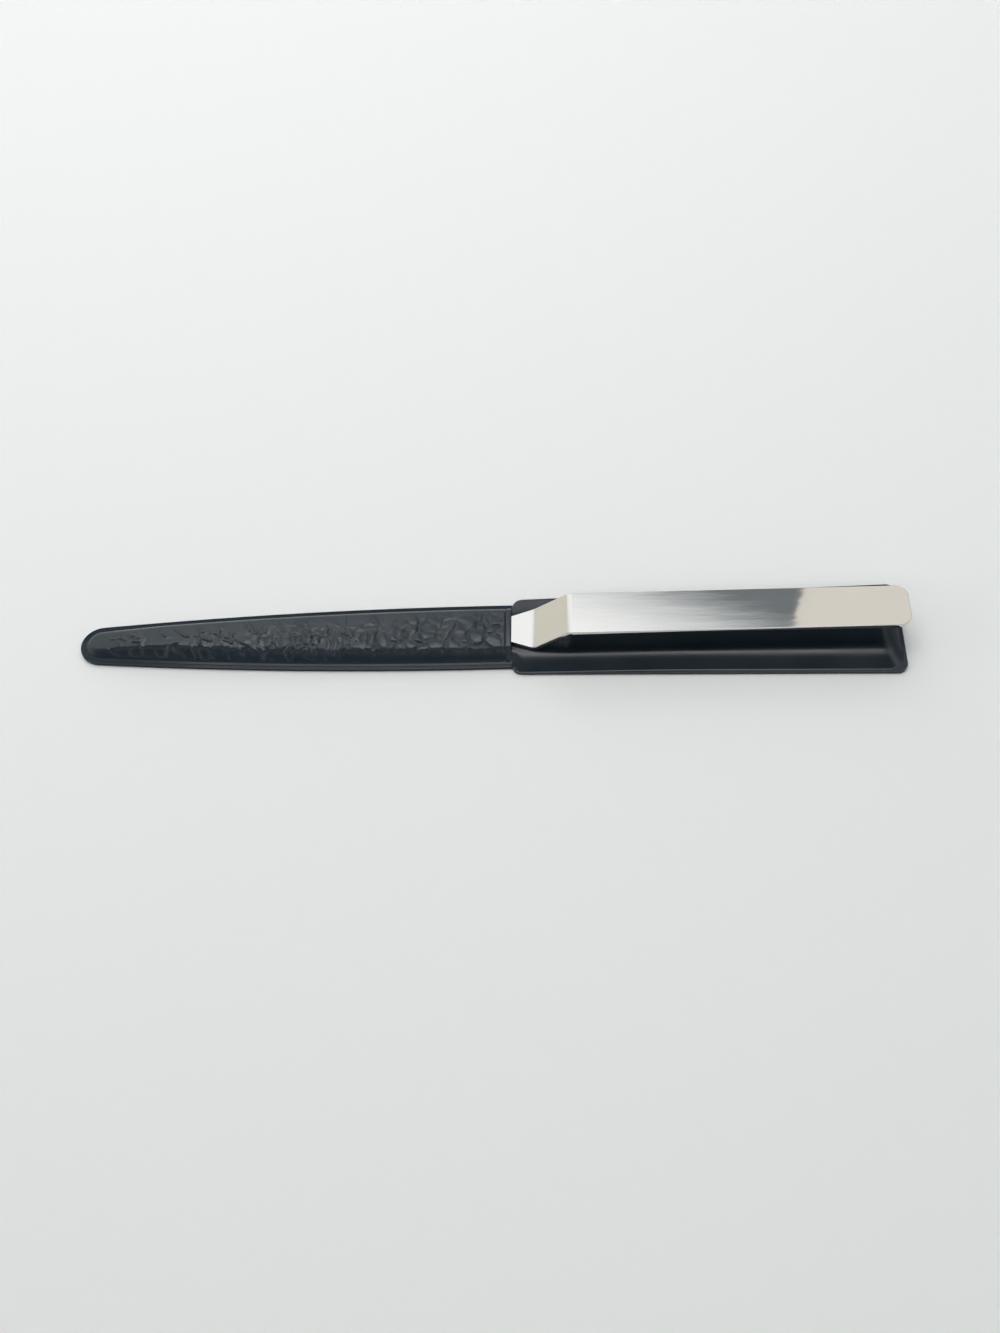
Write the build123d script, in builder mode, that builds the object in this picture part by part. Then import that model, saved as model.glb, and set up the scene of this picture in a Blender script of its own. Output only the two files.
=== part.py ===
"""Letter opener in a padded vinyl holder.

A bent strip of stainless steel has a blade that slides into a grained sheath and a raised flat handle that
lies over a padded rest. Millimetres. +X runs from the tip of the sheath to the end of the handle, +Z is up,
and the holder lies on its back at Z = 0, centred on the origin.
"""
import os
from math import atan2, cos, radians, sin, tan

from build123d import *

# Outline of the holder, seen from above
rest_length = 109.5
nose_radius = 6.25
nose_spread = 4.8
mouth_width = 21.4
rest_width_at_mouth = 25.4
rest_width_at_end = 30.2
rest_corner = 3.0

# Sheets of the holder
back_thickness = 0.6
board_thickness = 1.0
cover_thickness = 0.5
weld_thickness = 0.4
front_thickness = 0.6
fit = 0.08

# Padded rest
rest_height = 3.2
rest_flange = 0.8
rest_wall_run = 2.85
rest_dome = 1.0
rest_end_run = 4.5
mouth_wall_run = 5.7
mouth_dome = 0.4
mouth_slope_run = 7.0
mouth_end_run = 1.2
crown_room = 0.15

# Grained sheath
sheath_flange = 1.8
sheath_wall_run = 2.2
sheath_shoulder = 1.2
nose_height = 2.6
nose_slope_run = 26.0
binding_width = 1.6
binding_proud = 0.15
binding_groove = 0.2

# Steel strip
steel_thickness = 1.2
blade_length = 96.0
blade_tip_radius = 1.0
blade_spread = 4.4
neck_width = 8.9
handle_width = 13.5
neck_length = 6.4
ramp_run = 9.8
handle_rise = 7.0
handle_overhang = 0.6
handle_corner = 3.5
bend_radius = 1.5
bevel_width = 0.8
bevel_depth = 0.4

# Room for the blade in the sheath
blade_tip_room = 28.5
blade_play = 0.1
blade_headroom = 0.2
blade_side_play = 0.5

# Places along the length
sheath_length = blade_length + blade_tip_room
tip_x = -(sheath_length + rest_length + handle_overhang) / 2
mouth_x = tip_x + sheath_length
end_x = mouth_x + rest_length
bend_x = mouth_x + neck_length
handle_x = bend_x + ramp_run
handle_end_x = end_x + handle_overhang

# Heights
board_top = back_thickness + board_thickness
cover_weld_top = back_thickness + weld_thickness
front_weld_top = cover_weld_top + weld_thickness
filling_top = rest_height - cover_thickness
blade_bottom = rest_height + blade_play
blade_top = blade_bottom + steel_thickness
pocket_top = blade_top + blade_headroom
sheath_top = pocket_top + front_thickness
handle_top = blade_top + handle_rise

# Angle of one quarter of an ellipse, in degrees
quarter_turn = 90

# The sheath's sloping wall, and the sheet's thickness measured level through it
wall_slope = atan2(sheath_top - front_weld_top, sheath_wall_run)
wall_run_through = front_thickness / sin(wall_slope)
binding_run = binding_proud / sin(wall_slope)


def wall_inset(height):
    """How far the sheath's outer wall stands in from the holder's edge at a height."""
    return sheath_flange + (height - front_weld_top) / tan(wall_slope)


def filling_wall_inset(height):
    """How far the rest's filling draws in from its foot at a height, at the widest of its sloping walls."""
    insets = []
    for run, dome in ((rest_wall_run, rest_dome), (mouth_wall_run, mouth_dome)):
        insets.append(run * (height - back_thickness) / (filling_top - dome - back_thickness))
    return max(insets)


floor_inset = wall_inset(rest_height) + wall_run_through + fit
filling_inset = floor_inset + cover_thickness + fit
board_inset = rest_flange + cover_thickness + filling_wall_inset(board_top) + fit
welt_top = pocket_top - fit
welt_inset = wall_inset(welt_top) + wall_run_through + fit
floor_end_x = mouth_x + mouth_slope_run


def leaf(tip, root, nose, spread, width, overrun=0.0):
    """A blade-like outline: round nose, sides bowed out to the root, then straight on for the overrun."""
    angle = radians(spread)
    start = (tip + nose * (1 - sin(angle)), nose * cos(angle))
    with BuildSketch() as outline:
        with BuildLine():
            ThreePointArc((start[0], -start[1]), (tip, 0), start)
            TangentArc(start, (root, width / 2), tangent=(cos(angle), sin(angle)))
            TangentArc((start[0], -start[1]), (root, -width / 2), tangent=(cos(angle), -sin(angle)))
            if overrun:
                Line((root, width / 2), (root + overrun, width / 2))
                Line((root, -width / 2), (root + overrun, -width / 2))
            Line((root + overrun, -width / 2), (root + overrun, width / 2))
        make_face()
    return outline.sketch


def sheath_outline(inset, end):
    """The sheath's outline drawn in by an inset on its nose and sides, and ending square at a place."""
    root = min(mouth_x, end)
    return leaf(
        tip_x + inset, root, nose_radius - inset, nose_spread, mouth_width - 2 * inset, end - root
    )


def rest_outline(inset):
    """The padded rest's outline with round corners, drawn in by an inset all round."""
    with BuildSketch() as outline:
        with BuildLine():
            Polyline(
                (mouth_x, -rest_width_at_mouth / 2),
                (end_x, -rest_width_at_end / 2),
                (end_x, rest_width_at_end / 2),
                (mouth_x, rest_width_at_mouth / 2),
                close=True,
            )
        make_face()
        if inset:
            offset(amount=-inset, kind=Kind.INTERSECTION)
        fillet(outline.vertices(), radius=rest_corner)
    return outline.sketch


def dome_profile(half, wall_run, dome, low, top):
    """A profile across the rest: walls that slope up to a ridge on each side, and a low dome between them."""
    ridge = (half - wall_run, top - dome)
    with BuildSketch() as profile:
        with BuildLine():
            Line((-half, low), (-ridge[0], ridge[1]))
            ThreePointArc((-ridge[0], ridge[1]), (0, top), ridge)
            Line(ridge, (half, low))
            Line((half, low), (-half, low))
        make_face()
    return profile.sketch


def length_profile(foot_start, foot_end, first_run, last_run, low, top):
    """A flat-topped profile along the rest, whose two ends curve down to the foot as quarter ellipses."""
    rise = top - low
    first = (foot_start + first_run, low)
    last = (foot_end - last_run, low)
    with BuildSketch() as profile:
        with BuildLine():
            EllipticalCenterArc(first, first_run, rise, start_angle=quarter_turn, arc_size=quarter_turn)
            Line((first[0], top), (last[0], top))
            EllipticalCenterArc(last, last_run, rise, start_angle=0, arc_size=quarter_turn)
            Line((foot_end, low), (foot_start, low))
        make_face()
    return profile.sketch


def rest_width(place):
    """Width of the flared rest at a place along the length."""
    share = (place - mouth_x) / rest_length
    return rest_width_at_mouth + share * (rest_width_at_end - rest_width_at_mouth)


def rest_form(inset, low, top):
    """The rest's pillow: flared in plan, domed across, with longer walls by the mouth, and soft ends."""
    foot = rest_flange + inset
    sections = (
        (mouth_x, mouth_wall_run, mouth_dome),
        (mouth_x + mouth_slope_run, rest_wall_run, rest_dome),
        (end_x, rest_wall_run, rest_dome),
    )
    with BuildPart() as form:
        for place, run, dome in sections:
            with BuildSketch(Plane.YZ.offset(place)):
                add(dome_profile(rest_width(place) / 2 - foot, run, dome, low, top))
        loft(ruled=True)
        with BuildSketch(Plane.XZ):
            ends = (mouth_x + foot, end_x - foot)
            add(length_profile(*ends, mouth_end_run, rest_end_run, low, top + crown_room))
        extrude(amount=rest_width_at_end, both=True, mode=Mode.INTERSECT)
    return form.part


def nose_plane(drop):
    """The slope of the sheath's nose, lowered by a drop: it meets the flat top past the thin tip."""
    slope = (sheath_top - nose_height) / nose_slope_run
    return Plane(
        origin=(tip_x + nose_slope_run, 0, sheath_top - drop),
        x_dir=(1, 0, slope),
        z_dir=(-slope, 0, 1),
    )


def sheath_form(low, high, end, wider=0.0):
    """A solid with the sheath's sloping walls between two heights, thinning to the tip, square at its open end."""
    with BuildPart() as form:
        for height in (low, high):
            with BuildSketch(Plane.XY.offset(height)):
                add(sheath_outline(wall_inset(height) - wider, end))
        loft(ruled=True)
        split(bisect_by=nose_plane(sheath_top - high), keep=Keep.BOTTOM)
    return form.part


def floor_form(inside, low, top):
    """The pocket's floor under the blade between two heights, drawn in all round and thinning to the tip."""
    with BuildPart() as form:
        with BuildSketch(Plane.XY.offset(low)):
            add(sheath_outline(floor_inset + inside, floor_end_x - inside))
        extrude(amount=top - low)
        split(bisect_by=nose_plane(front_thickness + fit + inside), keep=Keep.BOTTOM)
    return form.part


# Back panel: the sheet that the other skins are welded to
with BuildPart() as back_panel:
    with BuildSketch():
        add(sheath_outline(0, mouth_x))
        add(rest_outline(0))
    extrude(amount=back_thickness)

# Stiffener board: one strip from the sheath's nose to the end of the rest
with BuildPart() as stiffener_board:
    with BuildSketch(Plane.XY.offset(back_thickness)):
        add(sheath_outline(filling_inset, floor_end_x + rest_corner))
        add(rest_outline(board_inset))
    extrude(amount=board_thickness)

# Foam padding: a thin layer under the blade that swells into the pillow of the rest
pillow_filling = rest_form(cover_thickness + fit, back_thickness, filling_top - fit)
with BuildPart() as foam_padding:
    add(pillow_filling)
    split(bisect_by=Plane.XY.offset(board_top), keep=Keep.TOP)
    add(floor_form(cover_thickness + fit, board_top, filling_top - fit))

# Smooth cover: pillow skin over the rest, pocket floor under the blade, welded edge all round
pillow_outside = rest_form(0, cover_weld_top, rest_height)
pillow_inside = rest_form(cover_thickness, back_thickness, filling_top)
floor_inside = floor_form(cover_thickness, back_thickness, filling_top)
with BuildPart() as smooth_cover:
    with BuildSketch(Plane.XY.offset(back_thickness)):
        add(sheath_outline(0, mouth_x))
        add(rest_outline(0))
    extrude(amount=weld_thickness)
    add(floor_form(0, back_thickness, rest_height))
    add(pillow_outside)
    add(floor_inside, mode=Mode.SUBTRACT)
    add(pillow_inside, mode=Mode.SUBTRACT)

# Blade welt: U-shaped spacer that keeps the pocket as deep as the steel
blade_tip_x = mouth_x - blade_length
with BuildPart() as blade_welt:
    with BuildSketch(Plane.XY.offset(rest_height)):
        add(sheath_outline(welt_inset, mouth_x - binding_width))
        add(
            leaf(
                blade_tip_x - blade_side_play,
                mouth_x,
                blade_tip_radius + blade_side_play,
                blade_spread,
                neck_width + 2 * blade_side_play,
            ),
            mode=Mode.SUBTRACT,
        )
    extrude(amount=welt_top - rest_height)
    split(bisect_by=nose_plane(sheath_top - welt_top), keep=Keep.BOTTOM)

# Sheath front: grained skin with sloping walls, a soft shoulder and a welded edge
front_end_x = mouth_x - binding_width - binding_groove
pocket_space = sheath_form(cover_weld_top, pocket_top, mouth_x + binding_width, -wall_run_through)
with BuildPart() as front_outside:
    add(sheath_form(front_weld_top, sheath_top, mouth_x))
    rim = front_outside.faces().sort_by(Axis.Z)[-1].edges().filter_by(Axis.Y, reverse=True)
    fillet(rim, radius=sheath_shoulder)
    split(bisect_by=Plane.YZ.offset(front_end_x), keep=Keep.BOTTOM)

with BuildPart() as sheath_front:
    with BuildSketch(Plane.XY.offset(cover_weld_top)):
        add(sheath_outline(0, mouth_x))
    extrude(amount=weld_thickness)
    add(front_outside.part)
    add(pocket_space, mode=Mode.SUBTRACT)

# Mouth binding: the narrow band over the mouth, a little proud of the grained skin
with BuildPart() as mouth_binding:
    add(sheath_form(front_weld_top, sheath_top + binding_proud, mouth_x, binding_run))
    rim = mouth_binding.faces().sort_by(Axis.Z)[-1].edges().filter_by(Axis.Y, reverse=True)
    fillet(rim, radius=sheath_shoulder)
    split(bisect_by=Plane.YZ.offset(mouth_x - binding_width), keep=Keep.TOP)
    add(pocket_space, mode=Mode.SUBTRACT)

# Letter opener: a ground blade and a strip bent up into the handle, all one piece of steel
with BuildPart() as ground_blade:
    with BuildSketch(Plane.XY.offset(blade_bottom)):
        add(leaf(blade_tip_x, mouth_x, blade_tip_radius, blade_spread, neck_width))
    extrude(amount=steel_thickness)
    for side in (0, -1):
        flat = ground_blade.faces().sort_by(Axis.Z)[side]
        rim = flat.edges().filter_by(Axis.Y, reverse=True)
        chamfer(rim, length=bevel_width, length2=bevel_depth, reference=flat)

with BuildPart() as letter_opener:
    with BuildSketch(Plane.XZ):
        with BuildLine() as underside:
            Polyline(
                (mouth_x, blade_bottom),
                (bend_x, blade_bottom),
                (handle_x, blade_bottom + handle_rise),
                (handle_end_x, blade_bottom + handle_rise),
            )
            fillet(underside.vertices().sort_by(Axis.X)[1:3], radius=bend_radius)
            offset(amount=steel_thickness, side=Side.LEFT)
        make_face()
    extrude(amount=handle_width, both=True)
    with BuildSketch() as plan:
        with BuildLine():
            Polyline(
                (mouth_x, -neck_width / 2),
                (bend_x, -handle_width / 2),
                (handle_end_x, -handle_width / 2),
                (handle_end_x, handle_width / 2),
                (bend_x, handle_width / 2),
                (mouth_x, neck_width / 2),
                close=True,
            )
        make_face()
        fillet(plan.vertices().group_by(Axis.X)[-1], radius=handle_corner)
    extrude(amount=handle_top + bend_radius, mode=Mode.INTERSECT)
    add(ground_blade.part)

pieces = {
    "back_panel": back_panel,
    "stiffener_board": stiffener_board,
    "foam_padding": foam_padding,
    "smooth_cover": smooth_cover,
    "blade_welt": blade_welt,
    "sheath_front": sheath_front,
    "mouth_binding": mouth_binding,
    "letter_opener": letter_opener,
}
os.makedirs("parts", exist_ok=True)
for name, piece in pieces.items():
    piece.part.label = name
    export_step(piece.part, f"parts/{name}.step")
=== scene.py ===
"""Looks of a letter opener seated in its padded vinyl holder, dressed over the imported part."""
from math import cos, hypot, pi, radians, sin, sqrt

import bmesh
import bpy
from mathutils import Matrix, Vector, noise


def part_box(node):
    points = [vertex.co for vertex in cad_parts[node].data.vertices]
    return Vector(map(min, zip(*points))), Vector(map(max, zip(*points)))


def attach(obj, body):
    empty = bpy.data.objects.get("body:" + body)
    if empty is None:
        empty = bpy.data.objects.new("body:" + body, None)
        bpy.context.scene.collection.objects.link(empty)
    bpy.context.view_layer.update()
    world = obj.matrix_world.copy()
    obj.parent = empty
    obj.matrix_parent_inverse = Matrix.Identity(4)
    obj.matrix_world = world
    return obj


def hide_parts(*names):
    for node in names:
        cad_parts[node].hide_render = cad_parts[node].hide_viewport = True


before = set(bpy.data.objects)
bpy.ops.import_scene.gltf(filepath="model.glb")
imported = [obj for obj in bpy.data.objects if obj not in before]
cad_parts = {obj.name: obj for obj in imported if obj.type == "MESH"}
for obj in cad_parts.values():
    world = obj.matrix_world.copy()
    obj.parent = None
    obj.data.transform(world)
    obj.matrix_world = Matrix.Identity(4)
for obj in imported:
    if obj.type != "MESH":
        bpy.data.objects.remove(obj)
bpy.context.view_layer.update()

# Everything is in metres, and sizes are written in millimetres
mm = 0.001

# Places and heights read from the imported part
sheath_low, sheath_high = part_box("sheath_front")
binding_low, binding_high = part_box("mouth_binding")
cover_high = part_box("smooth_cover")[1]
back_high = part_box("back_panel")[1]
steel_low, steel_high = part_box("letter_opener")
tip_x = sheath_low.x
mouth_x = sheath_high.x
end_x = cover_high.x
front_weld_top = binding_low.z
cover_weld_top = sheath_low.z
sheath_top = sheath_high.z
rest_top = cover_high.z
handle_half = steel_high.y
blade_bottom = steel_low.z

# Outline of the holder
nose_radius = 6.25 * mm
nose_spread = radians(4.8)
mouth_half = 10.7 * mm
rest_half_at_mouth = 12.7 * mm
rest_half_at_end = 15.1 * mm
rest_corner = 3.0 * mm

# Skins of the holder
front_skin = 0.4 * mm
hem_skin = 0.5 * mm
cover_skin = 0.35 * mm
weld_skin = 0.4 * mm
foam_layer = 0.3 * mm
rest_flange = 0.8 * mm
rest_flange_at_mouth = 0.25 * mm
flange_growth_run = 50 * mm
sheath_flange = 1.8 * mm
sheath_wall_run = 2.2 * mm
wall_rise = (sheath_top - front_weld_top) / sheath_wall_run
binding_width = binding_high.x - binding_low.x
floor_inset = 3.6 * mm

# Steel strip
steel_thickness = 1.2 * mm
blade_top = blade_bottom + steel_thickness
neck_half = 4.45 * mm
neck_length = 6.4 * mm
ramp_run = 9.8 * mm
handle_corner = 3.5 * mm
low_bend = 0.85 * mm
high_bend = 1.1 * mm
edge_round = 0.14 * mm
blade_tip_radius = 1.0 * mm
blade_spread = radians(4.4)
bevel_width = 0.8 * mm
bevel_depth = 0.4 * mm
grind_gap = 4.0 * mm
tip_gap = 0.02 * mm
edge_reach = 0.1 * mm
same_place = 0.01 * mm


def smooth_step(low, high, value):
    """0 below low, 1 above high and an S-shaped run between them."""
    share = min(max((value - low) / (high - low), 0), 1)
    return share * share * (3 - 2 * share)


def soft_min(first, second, reach):
    """The lower of two heights, rounded over a reach where they cross."""
    near = max(reach - abs(first - second), 0) / reach
    return min(first, second) - near * near * reach / 4


def soft_max(first, second, reach):
    """The higher of two heights, rounded over a reach where they cross."""
    return -soft_min(-first, -second, reach)


class Leaf:
    """A blade-like outline: a round nose, then sides that bow out to the root."""

    def __init__(self, tip, root, nose, spread, root_half):
        self.tip = tip
        self.nose = nose
        self.spread = spread
        self.nose_x = tip + nose
        side_start = Vector((tip + nose * (1 - sin(spread)), nose * cos(spread)))
        inward = Vector((sin(spread), -cos(spread)))
        chord = Vector((root, root_half)) - side_start
        self.radius = chord.length_squared / (2 * chord.dot(inward))
        self.centre = side_start + inward * self.radius

    def half(self, x, inset=0.0):
        """Half the width at a place along the length, for the outline drawn in by an inset."""
        nose = self.nose - inset
        if x < self.nose_x - nose * sin(self.spread):
            return sqrt(max(nose**2 - (x - self.nose_x) ** 2, 0))
        return self.centre.y + sqrt((self.radius - inset) ** 2 - (x - self.centre.x) ** 2)

    def inset(self, x, y):
        """How far a point lies inside the outline."""
        y = abs(y)
        if (x - self.nose_x) * cos(self.spread) + y * sin(self.spread) < 0:
            return self.nose - hypot(x - self.nose_x, y)
        return self.radius - hypot(x - self.centre.x, y - self.centre.y)

    def along(self, share, end, nose_share, inset=0.0):
        """A place along the length, with the first share of the columns closed up round the nose."""
        nose = self.nose - inset
        side_x = self.nose_x - nose * sin(self.spread)
        if share < nose_share:
            turn = share / nose_share * (pi / 2 - self.spread)
            return self.nose_x - nose * cos(turn)
        return side_x + (share - nose_share) / (1 - nose_share) * (end - side_x)


sheath = Leaf(tip_x, mouth_x, nose_radius, nose_spread, mouth_half)
blade = Leaf(steel_low.x, mouth_x, blade_tip_radius, blade_spread, neck_half)


def rest_half(x):
    """Half the width of the flared rest, without its round corners."""
    share = (x - mouth_x) / (end_x - mouth_x)
    return rest_half_at_mouth + share * (rest_half_at_end - rest_half_at_mouth)


def rest_edge(x, inset=0.0):
    """Half the width of the rest with its corners rounded, drawn in by an inset."""
    from_end = min(x - mouth_x, end_x - x) - inset
    cut = min(max(rest_corner - from_end, 0), rest_corner)
    return rest_half(x) - inset - rest_corner + sqrt(rest_corner**2 - cut**2)


def holder_half(x):
    """Half the width of the whole holder: the sheath, then the rest."""
    if x < mouth_x:
        return sheath.half(x)
    return max(mouth_half, rest_edge(x))


def share_along(x):
    """Place along the sheath: 0 at the tip and 1 at the mouth."""
    return (x - tip_x) / (mouth_x - tip_x)


def towards_edges(across):
    """A share across, -1 to 1, with the rows of a sheet closer together towards both edges."""
    return 0.6 * across + 0.4 * sin(across * pi / 2)


# Small modelling helpers
def deselect():
    """Clears the selection, because an operator acts on all that is selected."""
    if bpy.context.object and bpy.context.object.mode != "OBJECT":
        bpy.ops.object.mode_set(mode="OBJECT")
    bpy.ops.object.select_all(action="DESELECT")


def sheet_of(name, columns, rows, place):
    """A grid whose points move to where place puts their share along, 0 to 1, and across, -1 to 1."""
    deselect()
    bpy.ops.mesh.primitive_grid_add(x_subdivisions=columns, y_subdivisions=rows, size=2)
    sheet = bpy.context.object
    sheet.name = name
    for point in sheet.data.vertices:
        point.co = place((point.co.x + 1) / 2, point.co.y)
    merge_and_face_out(sheet)
    return sheet


def merge_and_face_out(piece):
    """Merges points that fell together and makes all faces point the same way."""
    edit(piece)
    bpy.ops.mesh.select_all(action="SELECT")
    bpy.ops.mesh.remove_doubles(threshold=0.002 * mm)
    bpy.ops.mesh.normals_make_consistent(inside=False)
    bpy.ops.object.mode_set(mode="OBJECT")
    if piece.data.polygons[len(piece.data.polygons) // 2].normal.z < 0:
        piece.data.flip_normals()


def edit(piece):
    """Opens one piece in edit mode."""
    deselect()
    piece.select_set(True)
    bpy.context.view_layer.objects.active = piece
    bpy.ops.object.mode_set(mode="EDIT")


def pick(piece, kind, test):
    """Selects the points, edges or faces whose middle passes a test, in edit mode."""
    bpy.ops.mesh.select_mode(type=kind)
    bpy.ops.mesh.select_all(action="DESELECT")
    mesh = bmesh.from_edit_mesh(piece.data)
    for part in {"VERT": mesh.verts, "EDGE": mesh.edges, "FACE": mesh.faces}[kind]:
        points = [part] if kind == "VERT" else part.verts
        middle = sum((point.co for point in points), Vector()) / len(points)
        if test(middle):
            part.select_set(True)
    mesh.select_flush_mode()
    bmesh.update_edit_mesh(piece.data)


def modify(piece, kind, **settings):
    """Adds a modifier with its settings and applies it."""
    deselect()
    piece.select_set(True)
    bpy.context.view_layer.objects.active = piece
    modifier = piece.modifiers.new(kind.lower(), kind)
    for name, value in settings.items():
        setattr(modifier, name, value)
    bpy.ops.object.modifier_apply(modifier=modifier.name)


def smooth(piece, angle=40):
    """Shades a piece smooth, apart from edges sharper than an angle in degrees."""
    deselect()
    piece.select_set(True)
    bpy.context.view_layer.objects.active = piece
    bpy.ops.object.shade_smooth_by_angle(angle=radians(angle))


def dress(piece, body, slot, material, *nodes):
    """Gives a finished piece its material and body, and hides the nodes it stands for. The slot is not
    used.
    """
    piece.data.materials.clear()
    piece.data.materials.append(material)
    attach(piece, body)
    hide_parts(*nodes)


# Materials
def linear(hex_colour):
    """An sRGB hex colour as linear red, green, blue and alpha."""
    parts = [int(hex_colour[i : i + 2], 16) / 255 for i in (1, 3, 5)]
    return (*[c / 12.92 if c <= 0.04045 else ((c + 0.055) / 1.055) ** 2.4 for c in parts], 1.0)


def add_node(tree, kind, inputs=None, **settings):
    """Adds a node with its settings, and fills or links its inputs."""
    node = tree.nodes.new(kind)
    for name, value in settings.items():
        setattr(node, name, value)
    for name, value in (inputs or {}).items():
        if isinstance(value, bpy.types.NodeSocket):
            tree.links.new(value, node.inputs[name])
        else:
            node.inputs[name].default_value = value
    return node


def new_material(name, **shader_inputs):
    """A material with its shader: returns the material, its node tree and the shader."""
    material = bpy.data.materials.new(name)
    material.use_nodes = True
    tree = material.node_tree
    shader = tree.nodes["Principled BSDF"]
    for socket, value in shader_inputs.items():
        shader.inputs[socket.replace("_", " ")].default_value = value
    return material, tree, shader


def per_mm(size):
    """The scale of a noise pattern whose features are about a size across, in millimetres."""
    return 1 / (size * mm)


def polished_stainless_steel():
    """Polished stainless strip: a clear mirror, faintly clouded by handling, with fine rolling lines."""
    material, tree, shader = new_material("polished_stainless_steel", Metallic=1.0)
    place = add_node(tree, "ShaderNodeTexCoord").outputs["Object"]
    # Rolling lines are about 0.05 mm apart, drawn at 0.35 mm so that they show
    stretched = add_node(tree, "ShaderNodeMapping", {"Vector": place, "Scale": (0.02, 1.0, 1.0)})
    lines = add_node(
        tree, "ShaderNodeTexNoise", {"Vector": stretched.outputs[0], "Scale": per_mm(0.35), "Detail": 3.0}
    )
    clouds = add_node(tree, "ShaderNodeTexNoise", {"Vector": place, "Scale": per_mm(9.0), "Detail": 5.0})
    cloud = clouds.outputs["Fac"]
    worn = add_node(
        tree,
        "ShaderNodeMapRange",
        {"Value": cloud, "From Min": 0.35, "From Max": 0.75, "To Min": 0.02, "To Max": 0.05},
    )
    rough = add_node(
        tree,
        "ShaderNodeMath",
        {0: lines.outputs["Fac"], 1: 0.02, 2: worn.outputs[0]},
        operation="MULTIPLY_ADD",
    )
    tree.links.new(rough.outputs[0], shader.inputs["Roughness"])
    tint = add_node(
        tree,
        "ShaderNodeMix",
        {"Factor": cloud, 6: linear("#d6d6d4"), 7: linear("#dcdcdb")},
        data_type="RGBA",
    )
    tree.links.new(tint.outputs[2], shader.inputs["Base Color"])
    # Slow waves left by the rollers, which make the mirrored edges wander
    drawn_out = add_node(tree, "ShaderNodeMapping", {"Vector": place, "Scale": (0.16, 1.0, 1.0)})
    waves = add_node(
        tree, "ShaderNodeTexNoise", {"Vector": drawn_out.outputs[0], "Scale": per_mm(2.4), "Detail": 2.0}
    )
    rolled = add_node(
        tree, "ShaderNodeBump", {"Height": waves.outputs["Fac"], "Strength": 1.0, "Distance": 0.008 * mm}
    )
    bump = add_node(
        tree,
        "ShaderNodeBump",
        {
            "Height": lines.outputs["Fac"],
            "Strength": 0.02,
            "Distance": 0.02 * mm,
            "Normal": rolled.outputs[0],
        },
    )
    tree.links.new(bump.outputs[0], shader.inputs["Normal"])
    return material


def grained_vinyl():
    """Embossed black leatherette: satin cells with a fine pebble, dull and darker in creases, welds and
    walls, where turning down the shine paints shade.
    """
    material, tree, shader = new_material("grained_vinyl", IOR=1.6)
    place = add_node(tree, "ShaderNodeTexCoord").outputs["Object"]
    # The dull attribute makes the skin rougher and turns its shine down, which paints shade into the
    # creases, the wall and the weld
    dull = add_node(tree, "ShaderNodeAttribute", attribute_name="dull").outputs["Fac"]
    pebble = add_node(
        tree, "ShaderNodeTexVoronoi", {"Vector": place, "Scale": per_mm(0.55)}, feature="SMOOTH_F1"
    )
    clouds = add_node(tree, "ShaderNodeTexNoise", {"Vector": place, "Scale": per_mm(5.0), "Detail": 4.0})
    shade = add_node(
        tree,
        "ShaderNodeMix",
        {"Factor": clouds.outputs["Fac"], 6: linear("#1c2830"), 7: linear("#24323c")},
        data_type="RGBA",
    )
    tree.links.new(shade.outputs[2], shader.inputs["Base Color"])
    satin = add_node(
        tree,
        "ShaderNodeMapRange",
        {"Value": clouds.outputs["Fac"], "From Min": 0.3, "From Max": 0.7, "To Min": 0.27, "To Max": 0.36},
    )
    rough = add_node(
        tree, "ShaderNodeMath", {0: dull, 1: 0.25, 2: satin.outputs[0]}, operation="MULTIPLY_ADD"
    )
    tree.links.new(rough.outputs[0], shader.inputs["Roughness"])
    # Less shine where the skin is dull: painted shade
    shine = add_node(tree, "ShaderNodeMapRange", {"Value": dull, "To Min": 0.5, "To Max": 0.08})
    tree.links.new(shine.outputs[0], shader.inputs["Specular IOR Level"])
    bump = add_node(
        tree,
        "ShaderNodeBump",
        {"Height": pebble.outputs["Distance"], "Strength": 0.25, "Distance": 0.05 * mm},
        invert=True,
    )
    tree.links.new(bump.outputs[0], shader.inputs["Normal"])
    return material


def smooth_vinyl():
    """Smooth black vinyl over foam: a soft shine with a slight orange peel and a few dull rubbed places."""
    material, tree, shader = new_material("smooth_vinyl", IOR=1.54)
    place = add_node(tree, "ShaderNodeTexCoord").outputs["Object"]
    peel = add_node(tree, "ShaderNodeTexNoise", {"Vector": place, "Scale": per_mm(0.9), "Detail": 2.0})
    rubs = add_node(tree, "ShaderNodeTexNoise", {"Vector": place, "Scale": per_mm(12.0), "Detail": 2.0})
    shade = add_node(
        tree,
        "ShaderNodeMix",
        {"Factor": rubs.outputs["Fac"], 6: linear("#1a252e"), 7: linear("#1e2933")},
        data_type="RGBA",
    )
    tree.links.new(shade.outputs[2], shader.inputs["Base Color"])
    rough = add_node(
        tree,
        "ShaderNodeMapRange",
        {"Value": rubs.outputs["Fac"], "From Min": 0.3, "From Max": 0.7, "To Min": 0.20, "To Max": 0.24},
    )
    tree.links.new(rough.outputs[0], shader.inputs["Roughness"])
    bump = add_node(
        tree, "ShaderNodeBump", {"Height": peel.outputs["Fac"], "Strength": 0.1, "Distance": 0.03 * mm}
    )
    tree.links.new(bump.outputs[0], shader.inputs["Normal"])
    return material


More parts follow.
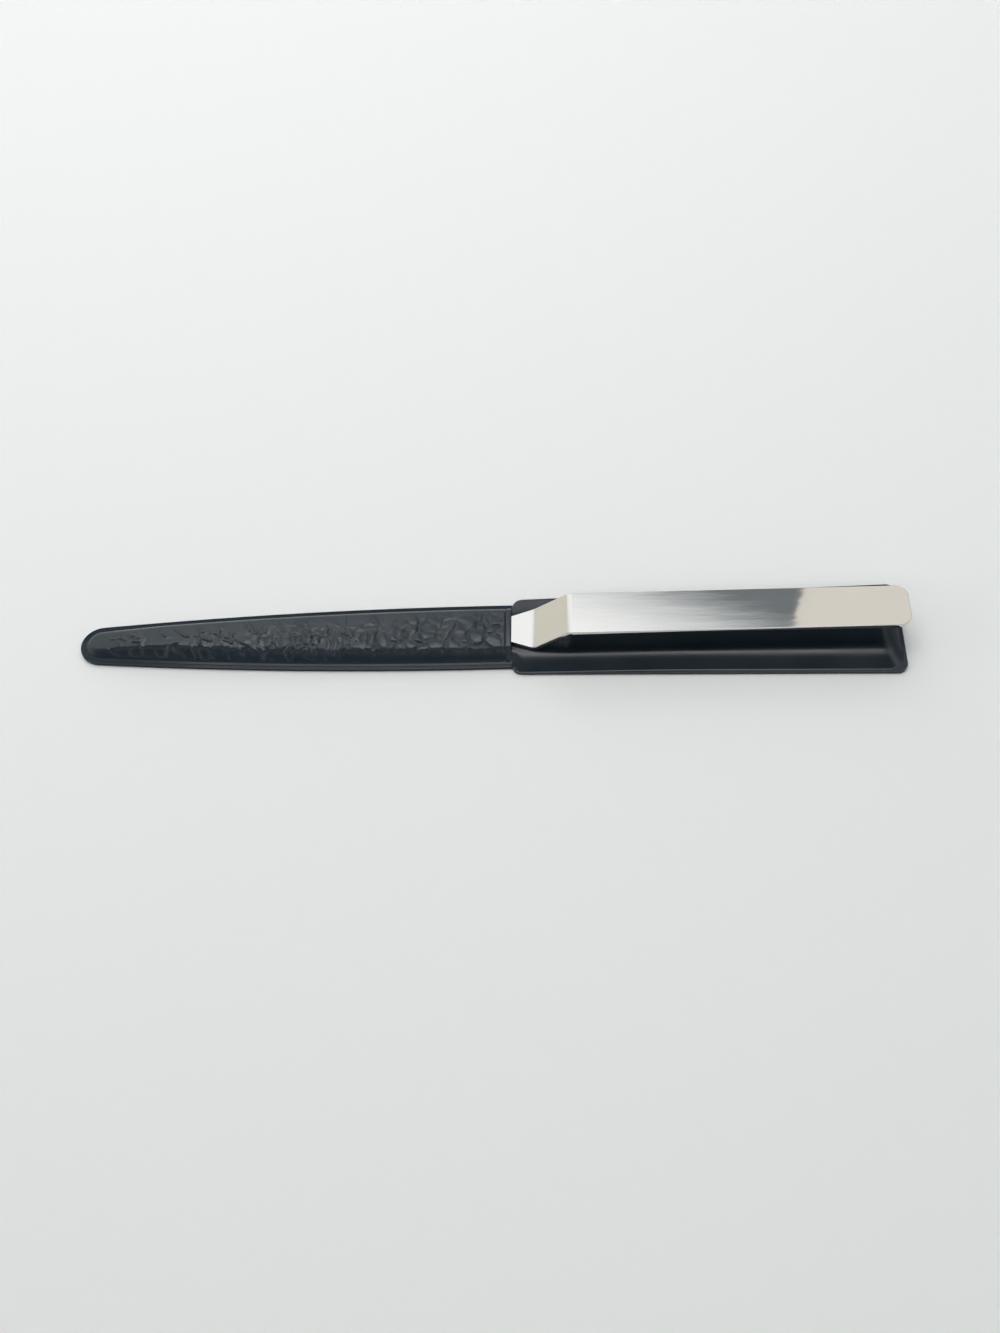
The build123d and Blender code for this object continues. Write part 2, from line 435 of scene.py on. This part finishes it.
def back_vinyl():
    """Plain backing vinyl: matt black with a fine pressed grain."""
    material, tree, shader = new_material("back_vinyl", IOR=1.5)
    place = add_node(tree, "ShaderNodeTexCoord").outputs["Object"]
    pressed = add_node(tree, "ShaderNodeTexVoronoi", {"Vector": place, "Scale": per_mm(0.7)})
    clouds = add_node(tree, "ShaderNodeTexNoise", {"Vector": place, "Scale": per_mm(8.0), "Detail": 4.0})
    shade = add_node(
        tree,
        "ShaderNodeMix",
        {"Factor": clouds.outputs["Fac"], 6: linear("#181b1f"), 7: linear("#23272c")},
        data_type="RGBA",
    )
    tree.links.new(shade.outputs[2], shader.inputs["Base Color"])
    rough = add_node(
        tree,
        "ShaderNodeMapRange",
        {"Value": clouds.outputs["Fac"], "From Min": 0.3, "From Max": 0.7, "To Min": 0.48, "To Max": 0.62},
    )
    tree.links.new(rough.outputs[0], shader.inputs["Roughness"])
    bump = add_node(
        tree,
        "ShaderNodeBump",
        {"Height": pressed.outputs["Distance"], "Strength": 0.35, "Distance": 0.06 * mm},
        invert=True,
    )
    tree.links.new(bump.outputs[0], shader.inputs["Normal"])
    return material


def closed_cell_foam():
    """Thin grey foam: dull, with small closed cells."""
    material, tree, shader = new_material("closed_cell_foam", Roughness=0.95)
    place = add_node(tree, "ShaderNodeTexCoord").outputs["Object"]
    cells = add_node(tree, "ShaderNodeTexVoronoi", {"Vector": place, "Scale": per_mm(0.6)})
    shade = add_node(
        tree,
        "ShaderNodeMix",
        {"Factor": cells.outputs["Distance"], 6: linear("#82848a"), 7: linear("#6a6c72")},
        data_type="RGBA",
    )
    tree.links.new(shade.outputs[2], shader.inputs["Base Color"])
    bump = add_node(
        tree, "ShaderNodeBump", {"Height": cells.outputs["Distance"], "Strength": 0.5, "Distance": 0.1 * mm}
    )
    tree.links.new(bump.outputs[0], shader.inputs["Normal"])
    return material


def pressed_fibreboard():
    """Brown fibreboard: dull, with short fibres pressed into it."""
    material, tree, shader = new_material("pressed_fibreboard", Roughness=0.9)
    place = add_node(tree, "ShaderNodeTexCoord").outputs["Object"]
    fibres = add_node(
        tree,
        "ShaderNodeTexNoise",
        {"Vector": place, "Scale": per_mm(0.8), "Detail": 6.0, "Distortion": 2.0},
    )
    shade = add_node(
        tree,
        "ShaderNodeMix",
        {"Factor": fibres.outputs["Fac"], 6: linear("#8f7a5e"), 7: linear("#b39c7b")},
        data_type="RGBA",
    )
    tree.links.new(shade.outputs[2], shader.inputs["Base Color"])
    bump = add_node(
        tree, "ShaderNodeBump", {"Height": fibres.outputs["Fac"], "Strength": 0.3, "Distance": 0.05 * mm}
    )
    tree.links.new(bump.outputs[0], shader.inputs["Normal"])
    return material


def stiff_plastic_strip():
    """Stiff black plastic: dull, with faint draw marks along it."""
    material, tree, shader = new_material("stiff_plastic_strip", IOR=1.46)
    place = add_node(tree, "ShaderNodeTexCoord").outputs["Object"]
    stretched = add_node(tree, "ShaderNodeMapping", {"Vector": place, "Scale": (0.05, 1.0, 1.0)})
    marks = add_node(
        tree, "ShaderNodeTexNoise", {"Vector": stretched.outputs[0], "Scale": per_mm(0.5), "Detail": 3.0}
    )
    shade = add_node(
        tree,
        "ShaderNodeMix",
        {"Factor": marks.outputs["Fac"], 6: linear("#2a2b2d"), 7: linear("#3b3c3f")},
        data_type="RGBA",
    )
    tree.links.new(shade.outputs[2], shader.inputs["Base Color"])
    rough = add_node(
        tree, "ShaderNodeMapRange", {"Value": marks.outputs["Fac"], "To Min": 0.45, "To Max": 0.65}
    )
    tree.links.new(rough.outputs[0], shader.inputs["Roughness"])
    return material


# Grained sheath front
edge_droop = 0.3 * mm
weld_groove = 0.1 * mm
groove_inset = 0.6 * mm
groove_width = 0.3 * mm
shoulder_reach = 2.0 * mm
foot_reach = 0.35 * mm
hem_step = 0.3 * mm
hem_groove = 0.2 * mm
front_end_x = binding_low.x - hem_groove
blade_clearance = 0.05 * mm
blade_side_room = 1.0 * mm
nose_height = 2.6 * mm
nose_slope_run = 26.0 * mm
near_dome = 1.4 * mm
far_dome = 0.4 * mm


def sheath_height(x, y):
    """Height of the sheath's skin: drooping weld, sloping wall, round shoulder, and thin at the nose."""
    inset = sheath.inset(x, y)
    weld = front_weld_top - edge_droop * (1 - min(max(inset / sheath_flange, 0), 1))
    weld -= weld_groove * max(1 - ((inset - groove_inset) / groove_width) ** 2, 0)
    wall = front_weld_top + (inset - sheath_flange) * wall_rise
    nose_left = max(tip_x + nose_slope_run - x, 0) / nose_slope_run
    top = sheath_top - (sheath_top - nose_height) * nose_left**1.3
    top -= (near_dome if y < 0 else far_dome) * (y / mouth_half) ** 2
    raised = soft_min(wall, top, shoulder_reach)
    return soft_max(weld, raised, foot_reach)


# Grain: round puffed cells parted by dull creases with painted shade, long folds across the top, and thin
# ridges by the tip.
# Each pattern lies on a layer of its own, so that no two follow the same lines
wander = 0.5
wander_size = 5.0 * mm
cell_length = 3.1 * mm
cell_across = 4.2 * mm
cell_layer = 0.37
puff_reach = 1.7 * mm
puff_height = 0.38 * mm
puff_level = 0.2 * mm
crease_width = 0.25 * mm
crease_depth = 0.1 * mm
crease_shade = 0.3
patch_size = 7.0 * mm
patch_layer = 4.0
fold_spacing = 11.0 * mm
fold_length = 70.0 * mm
fold_layer = 5.3
fold_width = 0.3 * mm
fold_depth = 0.08 * mm
fold_shade = 0.5
ridge_spacing = 4.8 * mm
ridge_length = 5.0 * mm
ridge_layer = 7.7
ridge_slant = 0.8
ridge_width = 0.26 * mm
ridge_height = 0.48 * mm
break_size = 3.0 * mm
break_layer = 9.0
pebble_size = 0.8 * mm
pebble_layer = 2.0
pebble_height = 0.03 * mm
grain_foot = 0.1 * mm
grain_end = 0.2 * mm
grain_fade_start = 1.2 * mm

# Dulling that paints shade on the weld and the wall: a painted shadow on the weld by the tip, painted shade
# on the near side and on the wall, and how they fade
tip_weld_shadow = 0.7
near_weld_shade = 0.33
wall_shade = 0.85
far_side_run = 2.0 * mm
weld_fade = 0.6 * mm
wall_foot_fade = 0.5 * mm
wall_fade_start = 0.8 * mm
wall_fade_end = 1.8 * mm


def patches(x, y, layer, size):
    """Soft patches of about a size, from -1 to 1."""
    return noise.noise(Vector((x, y, layer)) / size)


def cell_edge(x, y, length, across, layer):
    """How far a place lies from the nearest cell border of a wandering cell pattern."""
    wander_x = wander * patches(x, y, layer, wander_size)
    wander_y = wander * patches(y, x, layer, wander_size)
    spot = Vector((x / length + wander_x, y / across + wander_y, layer))
    near, places = noise.voronoi(spot)
    return (near[1] ** 2 - near[0] ** 2) / (2 * (places[1] - places[0]).length) * length


def bell(distance, width):
    """1 on a line, and falling off to both sides over a width."""
    return 1 / (1 + (distance / width) ** 2)


def puffed_cells(x, y, share, across, climb):
    """Relief, dulling with painted shade in the creases, and strength of the cells: on the near half, and
    further across by the mouth.
    """
    growth = smooth_step(0.45, 0.9, share)
    edge = cell_edge(x, y, cell_length * (0.85 + 0.4 * growth), cell_across, cell_layer)
    puff = 1 - (1 - min(edge / puff_reach, 1.0)) ** 2
    crease = bell(edge, crease_width)
    patchy = smooth_step(-0.3, 0.2, patches(x, y, patch_layer, patch_size))
    reach = 0.1 + 0.3 * growth
    strong = (1 - smooth_step(reach - 0.3, reach + 0.15, across)) * (0.5 + 0.5 * max(patchy, growth))
    strong *= smooth_step(0.12, 0.45, share) * smooth_step(0.45, 0.8, climb)
    relief = strong * (puff_height * puff - puff_level - crease_depth * crease)
    # Dull creases with painted shade
    return relief, crease_shade * strong * crease, strong


def long_fold(x, y, share, across, climb):
    """How deep a place lies in a long fold across the top, 0 to 1."""
    near_half = 1 - smooth_step(0.3, 0.75, across)
    shown = smooth_step(0.2, 0.5, share) * near_half * smooth_step(0.5, 0.85, climb)
    return bell(cell_edge(x, y, fold_spacing, fold_length, fold_layer), fold_width) * shown


def tip_ridge(x, y, share, across, climb):
    """How high a place lies on a broken ridge by the tip that runs down the wall, 0 to 1."""
    line = cell_edge(x + ridge_slant * y, y, ridge_spacing, ridge_length, ridge_layer)
    by_tip = (1 - smooth_step(0.45, 0.8, share)) * smooth_step(0.03, 0.12, share)
    by_tip *= (1 - smooth_step(0.0, 0.5, across)) * smooth_step(0.08, 0.3, climb)
    broken = smooth_step(-0.35, 0.1, patches(x, y, break_layer, break_size))
    return by_tip * broken * bell(line, ridge_width)


def grain(x, y, height):
    """Height of the grain over the smooth skin, and how dull the skin is there, with painted shade in
    creases and folds.
    """
    share = share_along(x)
    across = y / max(sheath.half(x), mm)
    climb = (height - front_weld_top) / (sheath_top - front_weld_top)
    relief, dull, strong = puffed_cells(x, y, share, across, climb)
    fold = long_fold(x, y, share, across, climb)
    ridge = tip_ridge(x, y, share, across, climb)
    relief += ridge_height * ridge - fold_depth * fold
    relief += patches(x, y, pebble_layer, pebble_size) * pebble_height * max(strong, 0.2)
    # Creases and folds stay shiny by the tip, without their painted shade, and the ridges are kept clear of
    # the painted shade on the wall, so they shine
    dull = (dull + fold_shade * fold) * smooth_step(0.25, 0.6, share) - ridge
    return relief, dull


def weld_and_wall_shade(x, y):
    """How dull the weld and the wall are: a painted shadow on the weld by the tip, painted shade along the
    weld and on the wall more than the top, and the weld darker still along the far side.
    """
    inset = sheath.inset(x, y) - sheath_flange
    by_tip = 1 - smooth_step(0.1, 0.45, share_along(x))
    far_side = smooth_step(0, far_side_run, y)
    weld = 1 - smooth_step(0, weld_fade, inset)
    # Painted shadow on the weld by the tip, painted shade along the rest of it, and darkest along the far
    # side
    weld *= max(far_side, tip_weld_shadow * by_tip, near_weld_shade)
    # Painted shade on the wall, less by the tip
    wall = smooth_step(0, wall_foot_fade, inset) - smooth_step(wall_fade_start, wall_fade_end, inset)
    wall *= wall_shade * (1 - 0.5 * by_tip)
    return max(weld, wall)


def sheath_piece(material):
    """The grained front skin, with its creases as real relief."""
    columns = 520
    rows = 90
    nose_share = 0.07

    def place(along, across):
        x = sheath.along(along, mouth_x, nose_share)
        y = sheath.half(x) * towards_edges(across)
        height = sheath_height(x, y)
        if x > front_end_x and sheath.inset(x, y) > sheath_flange:
            height = max(height - hem_step, front_weld_top - weld_groove)
        return x, y, height

    piece = sheet_of("sheath_front_skin", columns, rows, place)
    modify(piece, "SOLIDIFY", thickness=front_skin, offset=-1)
    points = piece.data.vertices
    outside = points[: len(points) // 2]
    inside = points[len(points) // 2 :]
    facing = [Vector(point.normal) for point in outside]
    # Per-point dulling, which paints shade into the creases and folds, onto the wall and along the weld
    dulling_and_shade = piece.data.attributes.new("dull", "FLOAT", "POINT").data
    for point, normal in zip(outside, facing):
        x, y, z = point.co
        dull = 0.0
        before_hem = 1 - smooth_step(front_end_x - grain_fade_start, front_end_x - grain_end, x)
        if before_hem > 0 and z > front_weld_top + grain_foot:
            relief, dull = grain(x, y, z)
            point.co += normal * before_hem * relief
        dull = before_hem * dull + weld_and_wall_shade(x, y)
        dulling_and_shade[point.index].value = min(max(dull, 0.0), 1.0)
    # Under the hem the skin is thinner, clear of the blade
    for point in inside:
        under_hem = point.co.x > front_end_x - blade_side_room
        if under_hem and abs(point.co.y) < neck_half + blade_side_room:
            point.co.z = max(point.co.z, blade_top + blade_clearance)
    smooth(piece, 60)
    dress(piece, "holder", "grained_vinyl", material, "sheath_front")


# Hem over the sheath's mouth
binding_proud = binding_high.z - sheath_top
hem_tuck = 0.22 * mm
hem_foot = 0.3 * mm
hem_edge = 0.1 * mm


def binding_piece(material):
    """The turned hem: a narrow rounded band over the mouth, from foot to foot."""
    columns = 16
    rows = 90
    foot_half = mouth_half - sheath_flange + hem_foot

    def place(along, across):
        x = binding_low.x + along * binding_width
        y = foot_half * across
        bulge = (binding_proud + hem_tuck) * (1 - (2 * along - 1) ** 6) - hem_tuck
        height = sheath_height(binding_low.x, y) + bulge
        return x, y, height

    piece = sheet_of("mouth_hem", columns, rows, place)
    modify(piece, "SOLIDIFY", thickness=hem_skin, offset=-1)
    modify(piece, "BEVEL", width=hem_edge, segments=2, limit_method="ANGLE", angle_limit=radians(50))
    smooth(piece, 60)
    dress(piece, "holder", "grained_vinyl", material, "mouth_binding")


# Padded rest: a low dome whose walls slope down to the weld edge, longer beside the mouth
dome_drop = 1.0 * mm
crown_share = 0.48
wall_run = 2.6 * mm
wall_run_growth = 0.35 * mm
mouth_wall_run = 5.9 * mm
mouth_slope_run = 7.0 * mm
end_dome_run = 4.2 * mm
end_wall_run = 1.6 * mm
ear_run = 0.9 * mm
ear_start = 1.2 * mm
ear_slope = 4.0
ridge_reach = 0.4 * mm
hip_reach = 0.9 * mm
floor_side_run = 1.5 * mm
floor_fade_start = 1.0 * mm
floor_fade_end = 6.0 * mm
floor_nose_drop = 1.6 * mm
floor_reach = 0.4 * mm
foam_inset = 2.4 * mm
foam_lift = 0.3 * mm
foam_drop = 0.6 * mm
weld_margin = 0.06 * mm


def rest_height(x, y, low, top, inset):
    """Height of the pillow: dome, side walls, end wall, ears beside the mouth and the floor's run-in."""
    flange_share = smooth_step(mouth_x, mouth_x + flange_growth_run, x)
    foot = inset + rest_flange_at_mouth + flange_share * (rest_flange - rest_flange_at_mouth)
    by_mouth = 1 - smooth_step(mouth_x, mouth_x + mouth_slope_run, x)
    run = wall_run + wall_run_growth * (x - mouth_x) / (end_x - mouth_x)
    run += by_mouth * (mouth_wall_run - run)
    drop = dome_drop * (1 - by_mouth)
    ridge = rest_half(x) - foot - run
    across_share = max((abs(y) / ridge - crown_share) / (1 - crown_share), 0)
    end_share = max(1 - (end_x - foot - end_wall_run - x) / end_dome_run, 0)
    share = hypot(across_share, end_share)
    dome = top - drop * (share**2 if share < 1 else 2 * share - 1)
    wall_height = top - drop - low
    side_wall = low + (ridge + run - abs(y)) * wall_height / run
    end_wall = low + (end_x - foot - x) * wall_height / end_wall_run
    reach = ridge_reach * (1 - 0.6 * by_mouth)
    pillow = soft_min(soft_min(dome, side_wall, reach), end_wall, ridge_reach)
    corner_x = x - end_x + rest_corner
    corner_y = abs(y) - rest_half(x) + rest_corner
    if corner_x > 0 and corner_y > 0:
        out = hypot(corner_x, corner_y)
        corner_run = run + (corner_x / out) ** 2 * (end_wall_run - run)
        corner_wall = low + (rest_corner - out - foot) * wall_height / corner_run
        pillow = soft_min(pillow, corner_wall, ridge_reach)
    ear = smooth_step(mouth_half - ear_run, mouth_half, abs(y))
    ear_wall = low + 3 * (1 - ear) * (top - low) + (x - mouth_x - ear_start * ear) * ear_slope
    pillow = soft_min(pillow, ear_wall, hip_reach)
    floor_side = (mouth_half - floor_inset - abs(y)) / floor_side_run
    floor = top - (top - low) * (1 - min(max(floor_side, 0), 1)) ** 2
    floor -= smooth_step(mouth_x + floor_fade_start, mouth_x + floor_fade_end, x) * (top - low)
    return min(max(soft_max(pillow, floor, floor_reach), low), top)


def pillow_sheet(name, low, top, inset):
    """A sheet in the form of the rest, running on under the blade to the sheath's nose."""
    columns = 340
    rows = 84
    tongue_share = 0.35
    nose_share = 0.1

    def place(along, across):
        if along < tongue_share:
            x = sheath.along(along / tongue_share, mouth_x, nose_share, floor_inset + inset)
            nose_left = max(tip_x + nose_slope_run - x, 0) / nose_slope_run
            return x, sheath.half(x, floor_inset + inset) * across, top - floor_nose_drop * nose_left
        # The columns are closer together at both ends of the rest
        share = (along - tongue_share) / (1 - tongue_share)
        eased = share - 0.8 * sin(2 * pi * share) / (2 * pi)
        x = mouth_x + inset + eased * (end_x - mouth_x - 2 * inset)
        y = max(mouth_half - inset, rest_edge(x, inset)) * sin(across * pi / 2)
        return x, y, rest_height(x, y, low, top, inset)

    return sheet_of(name, columns, rows, place)


def cover_piece(material):
    """The smooth skin of the rest, with the weld edge that runs on round the sheath."""
    piece = pillow_sheet("rest_cover", cover_weld_top, rest_top, 0.0)
    modify(piece, "SOLIDIFY", thickness=cover_skin, offset=-1)
    for point in piece.data.vertices:
        point.co.x = min(point.co.x, end_x)

    def weld_place(along, across):
        x = sheath.along(along, mouth_x, 0.1, weld_margin)
        return x, sheath.half(x, weld_margin) * across, cover_weld_top

    weld = sheet_of("weld_edge", 160, 24, weld_place)
    edit(weld)
    pick(weld, "FACE", lambda middle: sheath.inset(middle.x, middle.y) > sheath_flange)
    bpy.ops.mesh.delete(type="FACE")
    modify(weld, "SOLIDIFY", thickness=weld_skin, offset=-1)
    deselect()
    weld.select_set(True)
    piece.select_set(True)
    bpy.context.view_layer.objects.active = piece
    bpy.ops.object.join()
    smooth(piece, 60)
    dress(piece, "holder", "smooth_vinyl", material, "smooth_cover")


def foam_piece(material):
    """The thin filling under the cover."""
    piece = pillow_sheet("foam_filling", cover_weld_top + foam_lift, rest_top - foam_drop, foam_inset)
    modify(piece, "SOLIDIFY", thickness=foam_layer, offset=-1)
    smooth(piece, 60)
    dress(piece, "holder", "foam", material, "foam_padding")


# Back panel
weld_line_inset = 1.5 * mm
weld_line_width = 0.5 * mm
weld_line_depth = 0.14 * mm
back_edge_lift = 0.12 * mm
back_edge_run = 0.3 * mm


def holder_inset(x, y):
    """How far a place lies inside the holder's outline."""
    if x < mouth_x:
        return sheath.inset(x, y)
    return min(rest_half(x) - abs(y), end_x - x)


def back_piece(material):
    """The backing sheet, with the weld line pressed into its underside."""
    columns = 300
    rows = 64
    nose_share = 0.06

    def place(along, across):
        x = sheath.along(along, end_x, nose_share)
        y = holder_half(x) * towards_edges(across)
        off_line = (holder_inset(x, y) - weld_line_inset) / weld_line_width
        edge_lift = back_edge_lift * (1 - smooth_step(0, back_edge_run, holder_inset(x, y)))
        return x, y, max(weld_line_depth * max(1 - off_line**2, 0), edge_lift)

    piece = sheet_of("back_sheet", columns, rows, place)
    edit(piece)
    bpy.ops.mesh.select_all(action="SELECT")
    bpy.ops.mesh.extrude_region_move(TRANSFORM_OT_translate={"value": (0, 0, back_high.z)})
    bpy.ops.transform.resize(value=(1, 1, 0), center_override=(0, 0, back_high.z))
    bpy.ops.mesh.select_all(action="SELECT")
    bpy.ops.mesh.normals_make_consistent(inside=False)
    bpy.ops.object.mode_set(mode="OBJECT")
    smooth(piece, 40)
    dress(piece, "holder", "back_vinyl", material, "back_panel")


# Steel opener
def opener_piece(material):
    """One strip of steel: ground blade, neck, ramp and raised handle, with softened edges."""
    bend_x = mouth_x + neck_length
    handle_x = bend_x + ramp_run
    handle_end_x = steel_high.x
    rise = steel_high.z - blade_top
    deselect()
    bpy.ops.mesh.primitive_plane_add(size=1, location=(0, 0, 0))
    piece = bpy.context.object
    piece.name = "steel_opener"
    bpy.ops.object.mode_set(mode="EDIT")
    bpy.ops.transform.resize(value=(neck_length, 2 * handle_half, 1))
    bpy.ops.transform.translate(value=(mouth_x + neck_length / 2, 0, blade_top))

    # Blade: the neck's edge drawn out to the tip in short steps that follow the outline
    def at(x):
        return lambda middle: abs(middle.x - x) < same_place

    pick(piece, "EDGE", at(mouth_x))
    bpy.ops.transform.resize(value=(1, neck_half / handle_half, 1), center_override=(mouth_x, 0, blade_top))
    steps = 24
    x = mouth_x
    half = neck_half
    for step in range(1, steps + 1):
        next_x = mouth_x + (blade.tip + tip_gap - mouth_x) * sin(step / steps * pi / 2)
        next_half = blade.half(next_x)
        bpy.ops.mesh.extrude_region_move(TRANSFORM_OT_translate={"value": (next_x - x, 0, 0)})
        bpy.ops.transform.resize(value=(1, next_half / half, 1), center_override=(next_x, 0, blade_top))
        x = next_x
        half = next_half

    # Ramp and handle
    pick(piece, "EDGE", at(bend_x))
    bpy.ops.mesh.extrude_region_move(TRANSFORM_OT_translate={"value": (ramp_run, 0, rise)})
    bpy.ops.mesh.extrude_region_move(TRANSFORM_OT_translate={"value": (handle_end_x - handle_x, 0, 0)})
    pick(piece, "VERT", at(handle_end_x))
    bpy.ops.mesh.bevel(offset=handle_corner, segments=10, affect="VERTICES")

    # Bends
    pick(piece, "EDGE", at(bend_x))
    bpy.ops.mesh.bevel(offset=low_bend, segments=8, affect="EDGES")
    pick(piece, "EDGE", at(handle_x))
    bpy.ops.mesh.bevel(offset=high_bend, segments=10, affect="EDGES")

    # Ground edges of the blade
    grind_start = mouth_x - grind_gap
    pick(piece, "FACE", lambda middle: middle.x < grind_start)
    bpy.ops.mesh.inset(thickness=bevel_width, depth=0)
    merge_and_face_out(piece)
    modify(piece, "SOLIDIFY", thickness=steel_thickness, offset=-1, use_even_offset=True)
    edit(piece)
    for level, move in ((blade_top, -bevel_depth), (blade_bottom, bevel_depth)):
        pick(
            piece,
            "VERT",
            lambda spot: spot.x < grind_start - mm
            and abs(spot.z - level) < same_place
            and blade.inset(spot.x, spot.y) < edge_reach,
        )
        bpy.ops.transform.translate(value=(0, 0, move))
    bpy.ops.object.mode_set(mode="OBJECT")
    modify(piece, "BEVEL", width=edge_round, segments=3, limit_method="ANGLE", angle_limit=radians(50))
    smooth(piece, 35)
    modify(piece, "WEIGHTED_NORMAL", keep_sharp=True)
    dress(piece, "opener", "polished_steel", material, "letter_opener")


# Stage, light and camera
def card(name, corners, colour, strength):
    """A glowing card from its four corners in mm. It lights and is mirrored, but isn't seen itself."""
    deselect()
    bpy.ops.mesh.primitive_plane_add(size=1)
    sheet = bpy.context.object
    sheet.name = name
    for point, corner in zip(sheet.data.vertices, corners):
        point.co = Vector(corner) * mm
    material = bpy.data.materials.new(name)
    material.use_nodes = True
    tree = material.node_tree
    tree.nodes.clear()
    glow = add_node(tree, "ShaderNodeEmission", {"Color": linear(colour), "Strength": strength})
    out = add_node(tree, "ShaderNodeOutputMaterial")
    tree.links.new(glow.outputs[0], out.inputs["Surface"])
    sheet.data.materials.append(material)
    sheet.visible_camera = False
    return glow, tree


def flat_card(name, left, right, near, far, height, colour, strength=1.0):
    """A level card, from its four sides and its height in mm."""
    corners = [(x, y, height) for y in (near, far) for x in (left, right)]
    return card(name, corners, colour, strength)


def standing_card(name, start, end, low, high, colour):
    """An upright card over a line on the floor, from the line's ends and the card's two heights in mm."""
    card(name, [(*spot, height) for height in (low, high) for spot in (start, end)], colour, 1.0)


def fading_card(name, height):
    """The far card that the steel mirrors: bright on the left, fading along a slant to a dark grey."""
    glow, tree = flat_card(
        name, left=-1500, right=1000, near=400, far=1100, height=height, colour="#ffffff", strength=1.33
    )
    place = add_node(tree, "ShaderNodeTexCoord").outputs["Object"]
    # A line of one brightness runs back 1.66 mm along X for each mm along Y
    turned = add_node(
        tree, "ShaderNodeVectorMath", {0: place, 1: (1 / mm, 1.66 / mm, 0)}, operation="DOT_PRODUCT"
    )
    slant = add_node(
        tree,
        "ShaderNodeMapRange",
        {"Value": turned.outputs["Value"], "From Min": 500, "From Max": 1320, "To Min": 0.0, "To Max": 1.0},
    )
    ramp = add_node(tree, "ShaderNodeValToRGB", {"Fac": slant.outputs[0]})
    stops = (
        (0.05, "#bfc1c2"),
        (0.33, "#f0f1f1"),
        (0.69, "#f9f9f9"),
        (0.761, "#edeeee"),
        (0.854, "#cccecf"),
        (0.912, "#a0a3a5"),
        (0.97, "#6f7477"),
    )
    spots = ramp.color_ramp.elements
    while len(spots) < len(stops):
        spots.new(0.5)
    for spot, (position, colour) in zip(spots, stops):
        spot.position = position
        spot.color = linear(colour)
    tree.links.new(ramp.outputs["Color"], glow.inputs["Color"])


def ground():
    """A plain pale floor."""
    deselect()
    bpy.ops.mesh.primitive_plane_add(size=1.2)
    floor = bpy.context.object
    floor.name = "floor"
    material = new_material("pale_floor", Base_Color=linear("#fdfefd"), Roughness=0.7)[0]
    floor.data.materials.append(material)


def pale_room():
    """A pale world: plain to the camera and in reflections, and stronger as soft light from all sides."""
    world = bpy.data.worlds.new("pale_room")
    bpy.context.scene.world = world
    world.use_nodes = True
    tree = world.node_tree
    backdrop = tree.nodes["Background"]
    backdrop.inputs["Color"].default_value = linear("#eef0f0")
    path = add_node(tree, "ShaderNodeLightPath").outputs
    mirrored = add_node(
        tree,
        "ShaderNodeMath",
        {0: path["Is Glossy Ray"], 1: path["Is Transmission Ray"]},
        operation="MAXIMUM",
    )
    seen = add_node(
        tree, "ShaderNodeMath", {0: path["Is Camera Ray"], 1: mirrored.outputs[0]}, operation="MAXIMUM"
    )
    strength = add_node(
        tree, "ShaderNodeMapRange", {"Value": seen.outputs[0], "To Min": 2.3, "To Max": 1.0}
    )
    tree.links.new(strength.outputs[0], backdrop.inputs["Strength"])


def lights():
    """Soft studio light: a pale room with bright cards overhead, two warm ones, and dark ones in front."""
    white = "#ffffff"
    grey = "#d8dadb"
    dark = "#303438"
    height = 900
    left = -480
    right = 270
    near = -5
    middle = 170
    far = 395
    room_side = 1600
    camera_side = -800
    pale_room()
    fading_card("fading_card", height + 10)
    flat_card("overhead_strip", left, right, near, middle, height, white, 3.4)
    flat_card("overhead_sheet", left, right, middle, far, height, white, 2.5)
    flat_card("left_sheet", -room_side, left, near, far, height, grey)
    flat_card("right_sheet", right, 1500, near, far, height, "#eceeee", 1.2)
    standing_card("far_wall", (-200, 1400), (room_side, 1400), 0, 760, grey)
    # The warm card's left side leans, which slants its mirrored edge on the handle
    card(
        "warm_card",
        ((217, 590, height), (380, 590, height), (253, 720, height), (380, 720, height)),
        "#f6f0e6",
        1.0,
    )
    standing_card("warm_corner", (-1000, 300), (-450, 800), 80, 620, "#ebe6d8")
    standing_card("camera_flag", (-room_side, camera_side), (0, camera_side), 0, 760, dark)
    standing_card("camera_sheet", (0, camera_side), (room_side, camera_side), 0, 1000, "#c9cbcc")
    flat_card("overhead_flag", -room_side, room_side, -760, -3, 1000, dark)
    standing_card("right_flag", (1000, camera_side), (1000, 1100), 60, 900, "#8d9194")


def photo_camera():
    """A camera at the photo's place: its eye, its turn, tilt and roll, and its lens."""
    eye = Vector((28.9, -255.8, 361.4)) * mm
    yaw = radians(-5.8)
    pitch = radians(55.61)
    roll = radians(-6.07)
    focal_pixels = 1556.7
    frame_height = 1333
    forward = Vector((sin(yaw) * cos(pitch), cos(yaw) * cos(pitch), -sin(pitch)))
    level_right = Vector((cos(yaw), -sin(yaw), 0))
    level_up = level_right.cross(forward)
    right = level_right * cos(roll) + level_up * sin(roll)
    up = level_up * cos(roll) - level_right * sin(roll)
    deselect()
    bpy.ops.object.camera_add()
    camera = bpy.context.object
    turn = Matrix((right, up, -forward)).transposed().to_4x4()
    camera.matrix_world = Matrix.Translation(eye) @ turn
    camera.data.sensor_width = 36
    camera.data.lens = focal_pixels * camera.data.sensor_width / frame_height
    camera.data.clip_start = 0.01
    bpy.context.scene.camera = camera


def main():
    """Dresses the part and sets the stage."""
    grained = grained_vinyl()
    opener_piece(polished_stainless_steel())
    sheath_piece(grained)
    binding_piece(grained)
    cover_piece(smooth_vinyl())
    foam_piece(closed_cell_foam())
    back_piece(back_vinyl())
    hidden = {"stiffener_board": pressed_fibreboard(), "blade_welt": stiff_plastic_strip()}
    for node, material in hidden.items():
        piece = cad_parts[node]
        piece.data.materials.clear()
        piece.data.materials.append(material)
    ground()
    lights()
    photo_camera()
    bpy.context.scene.view_settings.view_transform = "Standard"


main()
